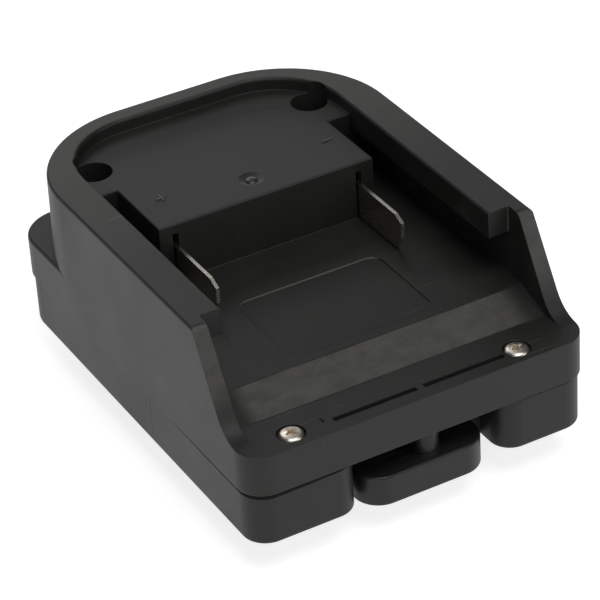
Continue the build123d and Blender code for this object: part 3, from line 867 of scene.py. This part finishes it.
@dataclass
class PanScrews:
    """Pan-head screws with a cross recess and a real helical thread, in place of a node of plain screws."""

    node: str
    pointing: Pointing = Pointing.DOWN
    shank_width: float = 3.0
    head_width: float = 5.5
    head_height: float = 2.0
    pitch: float = 1.25
    sides: int = 32
    core_share: float = 0.78
    crest_inset: float = 0.02
    flank_share: float = 0.28
    rows_per_turn: int = 6
    run_in: float = 0.8
    tip_length: float = 1.6
    tip_share: float = 0.62
    head_sunk: float = 0.05
    head_chamfer: float = 0.1
    rim_share: float = 0.42
    dome_share: float = 0.46
    dome_inset_share: float = 0.34
    dome_inset: float = 0.02
    dome_steps: int = 6
    flat_share: float = 0.3
    flat_level_share: float = 0.97
    top_share: float = 0.985
    recess_turn: float = 0.3
    recess_level_shares: Tuple[float, float] = (1.1, 0.28)
    recess_reach_shares: Tuple[float, float] = (0.27, 0.13)
    recess_half_shares: Tuple[float, float] = (0.075, 0.05)

    def __post_init__(self) -> None:
        """Takes the places, the seat and the shank's length from the node's box, in millimetres."""
        low, high = (Vector(corner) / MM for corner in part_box(self.node))
        half = self.head_width / 2
        middle = (low.y + high.y) / 2
        self.places = ((low.x + half, middle), (high.x - half, middle))
        self.shank = high.z - low.z - self.head_height
        self.seat = low.z + self.shank if self.pointing is Pointing.DOWN else high.z - self.shank

    def head_profile(self) -> List[Tuple[float, float]]:
        """Draws the head's outline.

        Returns:
            Radii and heights in millimetres, from just below the seat to the top.
        """
        half = self.head_width / 2
        rise = self.head_height
        chamfer = self.head_chamfer
        profile = [(0.0, -self.head_sunk), (self.core(), -self.head_sunk), (half - chamfer, 0.0),
                   (half, chamfer), (half, rise * self.rim_share)]
        for step in range(1, self.dome_steps + 1):
            angle = math.pi / 2 * step / self.dome_steps
            inset = half * self.dome_inset_share * (1 - math.cos(angle)) + self.dome_inset * step
            profile.append((half - inset, rise * self.rim_share + rise * self.dome_share * math.sin(angle)))
        profile.append((half * self.flat_share, rise * self.flat_level_share))
        profile.append((0.0, rise * self.top_share))
        return profile

    def core(self) -> float:
        """Works out the radius of the thread's core.

        Returns:
            The radius, in millimetres.
        """
        return self.shank_width / 2 * self.core_share

    def thread(self, shape: bmesh.types.BMesh) -> None:
        """Adds the threaded shank below the seat, with a blunt tip.

        Args:
            shape: the shape that gets the faces.
        """
        crest = self.shank_width / 2 - self.crest_inset
        core = self.core()
        steps = int(self.shank / (self.pitch / self.rows_per_turn))
        rings = []
        for row in range(steps + 1):
            depth = -self.shank * row / steps
            ring = []
            for step in range(self.sides):
                turn = step / self.sides
                phase = (-depth / self.pitch + turn) % 1.0
                height = max(0.0, 1.0 - abs(phase - 0.5) / self.flank_share)
                from_tip = (self.shank + depth) / self.tip_length
                fade = max(0.0, min(1.0, from_tip, -depth / self.run_in))
                taper = min(1.0, self.tip_share + (1.0 - self.tip_share) * from_tip)
                radius = (core + (crest - core) * height * fade) * taper
                angle = 2 * math.pi * turn
                ring.append(shape.verts.new(
                    Vector((radius * math.cos(angle), radius * math.sin(angle), depth)) * MM))
            rings.append(ring)
        join_rings(shape, rings)

    def recess(self) -> bpy.types.Object:
        """Makes a tapered cross that is cut from the head.

        Returns:
            The cutter.
        """
        shape = bmesh.new()
        levels = zip(self.recess_level_shares, self.recess_reach_shares, self.recess_half_shares)
        ends = [(self.head_height * level, self.head_width * reach, self.head_width * half)
                for level, reach, half in levels]
        for turn in (0.0, math.pi / 2):
            spin = Matrix.Rotation(turn + self.recess_turn, 4, "Z")
            corners = []
            for level, reach, half in ends:
                for x, y in ((-reach, -half), (reach, -half), (reach, half), (-reach, half)):
                    corners.append(shape.verts.new(spin @ Vector((x, y, level)) * MM))
            shape.faces.new(corners[0:4])
            shape.faces.new(corners[4:8])
            for side in range(4):
                after = (side + 1) % 4
                shape.faces.new((corners[side], corners[after], corners[4 + after], corners[4 + side]))
        return mesh_piece(self.node + "_recess", shape)

    def pattern(self) -> bpy.types.Object:
        """Makes one screw with its seat at the origin.

        Returns:
            The screw.
        """
        shape = bmesh.new()
        lathe(shape, self.head_profile(), self.sides)
        head = mesh_piece(self.node + "_head", shape, 50.0)
        cutter = self.recess()
        cut = head.modifiers.new("recess", "BOOLEAN")
        cut.operation = "DIFFERENCE"
        cut.solver = "EXACT"
        cut.use_self = True
        cut.object = cutter
        shape = bmesh.new()
        shape.from_mesh(applied_mesh(head))
        self.thread(shape)
        if self.pointing is Pointing.UP:
            bmesh.ops.rotate(shape, verts=shape.verts, matrix=Matrix.Rotation(math.pi, 3, "X"))
        for spare in (head, cutter):
            bpy.data.objects.remove(spare)
        return mesh_piece(self.node + "_pattern", shape, 40.0)

    def build(self, material: bpy.types.Material, slot: str) -> bpy.types.Object:
        """Makes the screws, and hides the plain ones.

        Args:
            material: the finish.
            slot: not used.

        Returns:
            The piece.
        """
        places = [(x * MM, y * MM, self.seat * MM) for x, y in self.places]
        made = scatter(self.node + "_detailed", self.pattern(), places, material)
        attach(made, Body.HOUSING.value)
        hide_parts(self.node)
        LOG.info("%s: %d faces", made.name, len(made.data.polygons))
        return made


@dataclass
class PolarityMarks:
    """The plus and the minus, raised on the terminal block beside the blades."""

    level: float = 47.5
    plus: Tuple[float, float] = (-19.8, 19.2)
    minus: Tuple[float, float] = (21.7, 20.2)
    reach: float = 2.7
    stroke: float = 0.46
    rise: float = 0.24
    sunk: float = 0.1
    rise_shares: Tuple[float, float, float] = (0.55, 0.9, 1.0)
    insets: Tuple[float, float, float] = (0.0, 0.05, 0.13)
    end_steps: int = 6

    def bar(self, shape: bmesh.types.BMesh, x: float, y: float, turn: float) -> None:
        """Adds a low bar with rounded ends and sloping sides.

        Args:
            shape: the shape that gets the faces.
            x: place, in millimetres.
            y: place, in millimetres.
            turn: angle in radians.
        """
        rings = []
        half = self.reach / 2 - self.stroke / 2
        spin = Matrix.Rotation(turn, 3, "Z")
        levels = [(-self.sunk, 0.0)]
        levels += [(self.rise * share, inset) for share, inset in zip(self.rise_shares, self.insets)]
        for level, inset in levels:
            ring = []
            radius = self.stroke / 2 - inset
            centre = Vector((x, y, self.level + level))
            for side in (1, -1):
                for step in range(self.end_steps + 1):
                    angle = math.pi * (step / self.end_steps - 0.5)
                    along = half + radius * math.cos(angle)
                    place = spin @ Vector((side * along, side * radius * math.sin(angle), 0.0))
                    ring.append(shape.verts.new((centre + place) * MM))
            rings.append(ring)
        join_rings(shape, rings)

    def build(self, material: bpy.types.Material) -> bpy.types.Object:
        """Makes both marks.

        Args:
            material: the finish.

        Returns:
            The piece.
        """
        shape = bmesh.new()
        self.bar(shape, *self.plus, 0.0)
        self.bar(shape, *self.plus, math.pi / 2)
        self.bar(shape, *self.minus, 0.0)
        made = mesh_piece("polarity_marks", shape, 60.0)
        paint(made, material)
        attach(made, Body.HOUSING.value)
        return made


@dataclass
class GateNub:
    """The low glossy nub in the dimple where the moulding was fed."""

    centre: Point = (0.0, 15.3, 47.0)
    width: float = 3.0
    rise: float = 0.62
    sunk: float = 0.2
    foot_share: float = 1.12
    skirt_share: float = 1.1
    steps: int = 9
    sides: int = 40

    def build(self, material: bpy.types.Material) -> bpy.types.Object:
        """Makes the nub.

        Args:
            material: the finish.

        Returns:
            The piece.
        """
        shape = bmesh.new()
        half = self.width / 2
        foot = half * self.foot_share
        profile = [(0.0, -self.sunk), (foot, -self.sunk), (half * self.skirt_share, 0.0)]
        for step in range(1, self.steps):
            angle = math.pi / 2 * step / self.steps
            profile.append((half * math.cos(angle), self.rise * math.sin(angle)))
        profile.append((0.0, self.rise))
        lathe(shape, profile, self.sides, self.centre)
        made = mesh_piece("gate_nub", shape, 50.0)
        paint(made, material)
        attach(made, Body.HOUSING.value)
        return made


@dataclass
class Housing:
    """Both mouldings with their marks, nub and screws."""

    marks: PolarityMarks = field(default_factory=PolarityMarks)
    nub: GateNub = field(default_factory=GateNub)
    front_screws: PanScrews = field(default_factory=lambda: PanScrews("front_screws"))
    rear_screws: PanScrews = field(default_factory=lambda: PanScrews("rear_screws"))

    def build(self, nodes: Dict[str, bpy.types.Object]) -> None:
        """Builds the added pieces and dresses the mouldings.

        Args:
            nodes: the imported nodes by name.
        """
        upper = MouldedNylon("upper_nylon", marks=UpperMarks(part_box("top_housing")[1].z)).make()
        lower = MouldedNylon("lower_nylon", marks=LowerMarks()).make()
        glossy = MouldedNylon("gate_nylon", tone=(0.03, 0.03, 0.03), roughness=0.24, dusty=0.2,
                              scratched=0.2).make()
        screw = ScrewSteel("screw_plating").make()
        paint(nodes["top_housing"], upper)
        paint(nodes["bottom_housing"], lower)
        mark = MouldedNylon("mark_nylon", tone=(0.06, 0.059, 0.056), roughness=0.36, dusty=0.0).make()
        self.marks.build(mark)
        self.nub.build(glossy)
        self.front_screws.build(screw, "screw_steel")
        self.rear_screws.build(screw, "screw_steel")
        LOG.info("housing dressed")


@dataclass
class Latch:
    """The sprung latch with its paddle, column and tooth, and its two springs."""

    def build(self, nodes: Dict[str, bpy.types.Object]) -> None:
        """Dresses the latch.

        Args:
            nodes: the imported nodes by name.
        """
        acetal = MouldedNylon("latch_acetal", tone=(0.012, 0.012, 0.0115), roughness=0.36,
                              grain_depth=0.000010, rubbed=0.7).make()
        wire = StampedMetal("spring_wire", tone=(0.52, 0.52, 0.53), dull=(0.3, 0.3, 0.3), roughness=0.3,
                            lines=(4.0, 4.0, 1.0)).make()
        paint(nodes["latch_button"], acetal)
        for name in ("latch_spring_left", "latch_spring_right"):
            paint(nodes[name], wire)
        LOG.info("latch dressed")


@dataclass
class Terminals:
    """The blades, the forks and what holds and joins them inside."""

    retainer_screws: PanScrews = field(default_factory=lambda: PanScrews(
        "retainer_screws", Pointing.UP, 1.88, 3.8, 1.4, 0.8, 24))
    carrier_screws: PanScrews = field(default_factory=lambda: PanScrews(
        "carrier_screws", Pointing.DOWN, 2.0, 3.8, 1.4, 0.8, 24))
    board_screws: PanScrews = field(default_factory=lambda: PanScrews(
        "board_screws", Pointing.DOWN, 2.0, 3.8, 1.4, 0.8, 24))

    def build(self, nodes: Dict[str, bpy.types.Object]) -> None:
        """Dresses the metal and what holds it.

        Args:
            nodes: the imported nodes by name.
        """
        nickel = StampedMetal("blade_nickel").make()
        bronze = StampedMetal("fork_bronze", tone=(0.72, 0.58, 0.36), dull=(0.45, 0.32, 0.18)).make()
        carrier = MouldedNylon("carrier_nylon", tone=(0.055, 0.055, 0.058), worn=(0.12, 0.12, 0.12),
                               dusty=0.5).make()
        black = SoftInsulation("black_silicone", (0.02, 0.02, 0.02)).make()
        finishes = {
            "blade_positive": nickel,
            "blade_negative": nickel,
            "contact_positive": bronze,
            "contact_negative": bronze,
            "blade_retainer": carrier,
            "contact_carrier": carrier,
            "board_switches": carrier,
            "wire_positive": SoftInsulation("red_silicone", (0.42, 0.03, 0.025)).make(),
            "wire_negative_in": black,
            "wire_negative_out": black,
            "circuit_board": SoftInsulation("board_lacquer", (0.02, 0.10, 0.04), 0.35).make(),
            "board_capacitor": SoftInsulation("capacitor_sleeve", (0.02, 0.03, 0.07), 0.3).make(),
            "wire_sleeves": SoftInsulation("shrunk_sleeve", (0.03, 0.03, 0.035), 0.4).make(),
        }
        for name, finish in finishes.items():
            paint(nodes[name], finish)
        screw = ScrewSteel("small_screw_plating").make()
        for screws in (self.retainer_screws, self.carrier_screws, self.board_screws):
            screws.build(screw, "screw_steel")
        LOG.info("terminals dressed")


@dataclass
class PhotoCamera:
    """The camera at the photograph's place. Lengths are in millimetres."""

    azimuth: float = -27.629
    elevation: float = 33.049
    roll: float = -3.68
    focal: float = 2923.858
    frame: float = 600.0
    pivot: Point = (0.0, 0.4, 29.6)
    aside: float = -2.172
    above: float = 4.366
    distance: float = 627.307
    sensor: float = 36.0
    nearest: float = 10.0
    farthest: float = 20000.0

    def build(self) -> bpy.types.Object:
        """Makes the camera and makes it the scene's own.

        Returns:
            The camera.
        """
        az, el, roll = (math.radians(a) for a in (self.azimuth, self.elevation, self.roll))
        back = Vector((math.sin(az) * math.cos(el), -math.cos(az) * math.cos(el), math.sin(el)))
        right = Vector((math.cos(az), math.sin(az), 0.0))
        up = back.cross(right)
        turned = right * math.cos(roll) + up * math.sin(roll)
        raised = up * math.cos(roll) - right * math.sin(roll)
        place = Vector(self.pivot) - turned * self.aside - raised * self.above + back * self.distance
        data = bpy.data.cameras.new("photo_camera")
        data.sensor_width = self.sensor
        data.lens = self.focal / self.frame * self.sensor
        data.clip_start = self.nearest * MM
        data.clip_end = self.farthest * MM
        made = add_object("photo_camera", data)
        turn = Matrix((turned, raised, back)).transposed().to_4x4()
        made.matrix_world = Matrix.Translation(place * MM) @ turn
        bpy.context.scene.camera = made
        return made


@dataclass(frozen=True)
class SoftBox:
    """One soft lamp that points at the adapter. Lengths are in metres and the power in watts."""

    name: str
    place: Point
    size: Tuple[float, float]
    power: float
    target: Point = (0.0, 0.0, 0.02)

    def build(self) -> bpy.types.Object:
        """Makes the lamp.

        Returns:
            The lamp.
        """
        data = bpy.data.lights.new(self.name, "AREA")
        data.shape = "RECTANGLE"
        data.size = self.size[0]
        data.size_y = self.size[1]
        data.energy = self.power
        made = add_object(self.name, data)
        made.location = self.place
        away = Vector(self.place) - Vector(self.target)
        made.rotation_euler = away.to_track_quat("Z", "Y").to_euler()
        return made


@dataclass
class Studio:
    """A pale floor, soft lamps and a plain world."""

    lamps: Sequence[SoftBox] = (
        SoftBox("top_front_box", (0.0, -0.5, 1.1), (0.8, 0.6), 6.2),
        SoftBox("top_box", (0.0, 0.1, 1.2), (0.9, 0.9), 1.0),
        SoftBox("left_front_box", (-0.7, -0.8, 0.5), (0.6, 0.5), 1.2),
        SoftBox("right_front_box", (0.7, -0.9, 0.5), (0.6, 0.5), 2.0),
        SoftBox("back_box", (0.0, 1.0, 0.9), (0.8, 0.6), 1.8),
        SoftBox("low_back_box", (0.35, 0.8, 0.22), (0.7, 0.2), 0.6),
        SoftBox("near_back_box", (0.15, 0.45, 0.40), (0.5, 0.3), 0.15),
        SoftBox("far_left_box", (-0.75, 0.9, 0.35), (0.6, 0.4), 0.6),
    )
    world_level: float = 0.03
    floor_reach: float = 4.0
    floor_glow: float = 0.80
    mirrored_share: float = 0.86
    floor_matt: Colour = (0.60, 0.60, 0.60)

    def floor(self) -> bpy.types.Object:
        """Makes the pale floor, which keeps the adapter's soft shadow.

        Returns:
            The floor.
        """
        g = Graph("pale_floor")
        rays = g.node("ShaderNodeLightPath")
        camera, glossy, through = (Value(g, rays.outputs[f"Is {kind} Ray"])
                                   for kind in ("Camera", "Glossy", "Transmission"))
        seen = camera.math("MAXIMUM", glossy.math("MAXIMUM", through) * self.mirrored_share)
        matt = g.node("ShaderNodeBsdfDiffuse", None, {"Color": (*self.floor_matt, 1.0)})
        glow = g.node("ShaderNodeEmission", None,
                      {"Color": (1.0, 1.0, 1.0, 1.0), "Strength": seen * self.floor_glow})
        both = g.node("ShaderNodeAddShader", None, {0: matt.outputs[0], 1: glow.outputs[0]})
        g.node("ShaderNodeOutputMaterial", None, {"Surface": both.outputs[0]})
        shape = bmesh.new()
        reach = self.floor_reach
        corners = ((-reach, -reach), (reach, -reach), (reach, reach), (-reach, reach))
        shape.faces.new([shape.verts.new((x, y, 0.0)) for x, y in corners])
        made = mesh_piece("floor", shape)
        paint(made, g.material)
        return made

    def world(self) -> None:
        """A grey world that the camera sees as white."""
        world = bpy.data.worlds.new("plain_world")
        world.use_nodes = True
        tree = world.node_tree
        tree.nodes.clear()
        rays = tree.nodes.new("ShaderNodeLightPath")
        level = tree.nodes.new("ShaderNodeMapRange")
        level.inputs["To Min"].default_value = self.world_level
        level.inputs["To Max"].default_value = 1.0
        tree.links.new(rays.outputs["Is Camera Ray"], level.inputs["Value"])
        shade = tree.nodes.new("ShaderNodeBackground")
        tree.links.new(level.outputs[0], shade.inputs["Strength"])
        output = tree.nodes.new("ShaderNodeOutputWorld")
        tree.links.new(shade.outputs[0], output.inputs["Surface"])
        bpy.context.scene.world = world

    def build(self) -> None:
        """Makes the floor, the lamps and the world."""
        self.floor()
        self.world()
        for lamp in self.lamps:
            lamp.build()
        bpy.context.scene.view_settings.view_transform = "Standard"


def main() -> None:
    """Builds everything in order."""
    logging.basicConfig(level=logging.INFO, format="%(name)s: %(message)s")
    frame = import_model()
    nodes: Dict[str, bpy.types.Object] = frame["nodes"]
    PhotoCamera().build()
    Studio().build()
    for assembly in (Housing(), Latch(), Terminals()):
        assembly.build(nodes)
    bpy.context.view_layer.update()


if __name__ == "__main__":
    main()
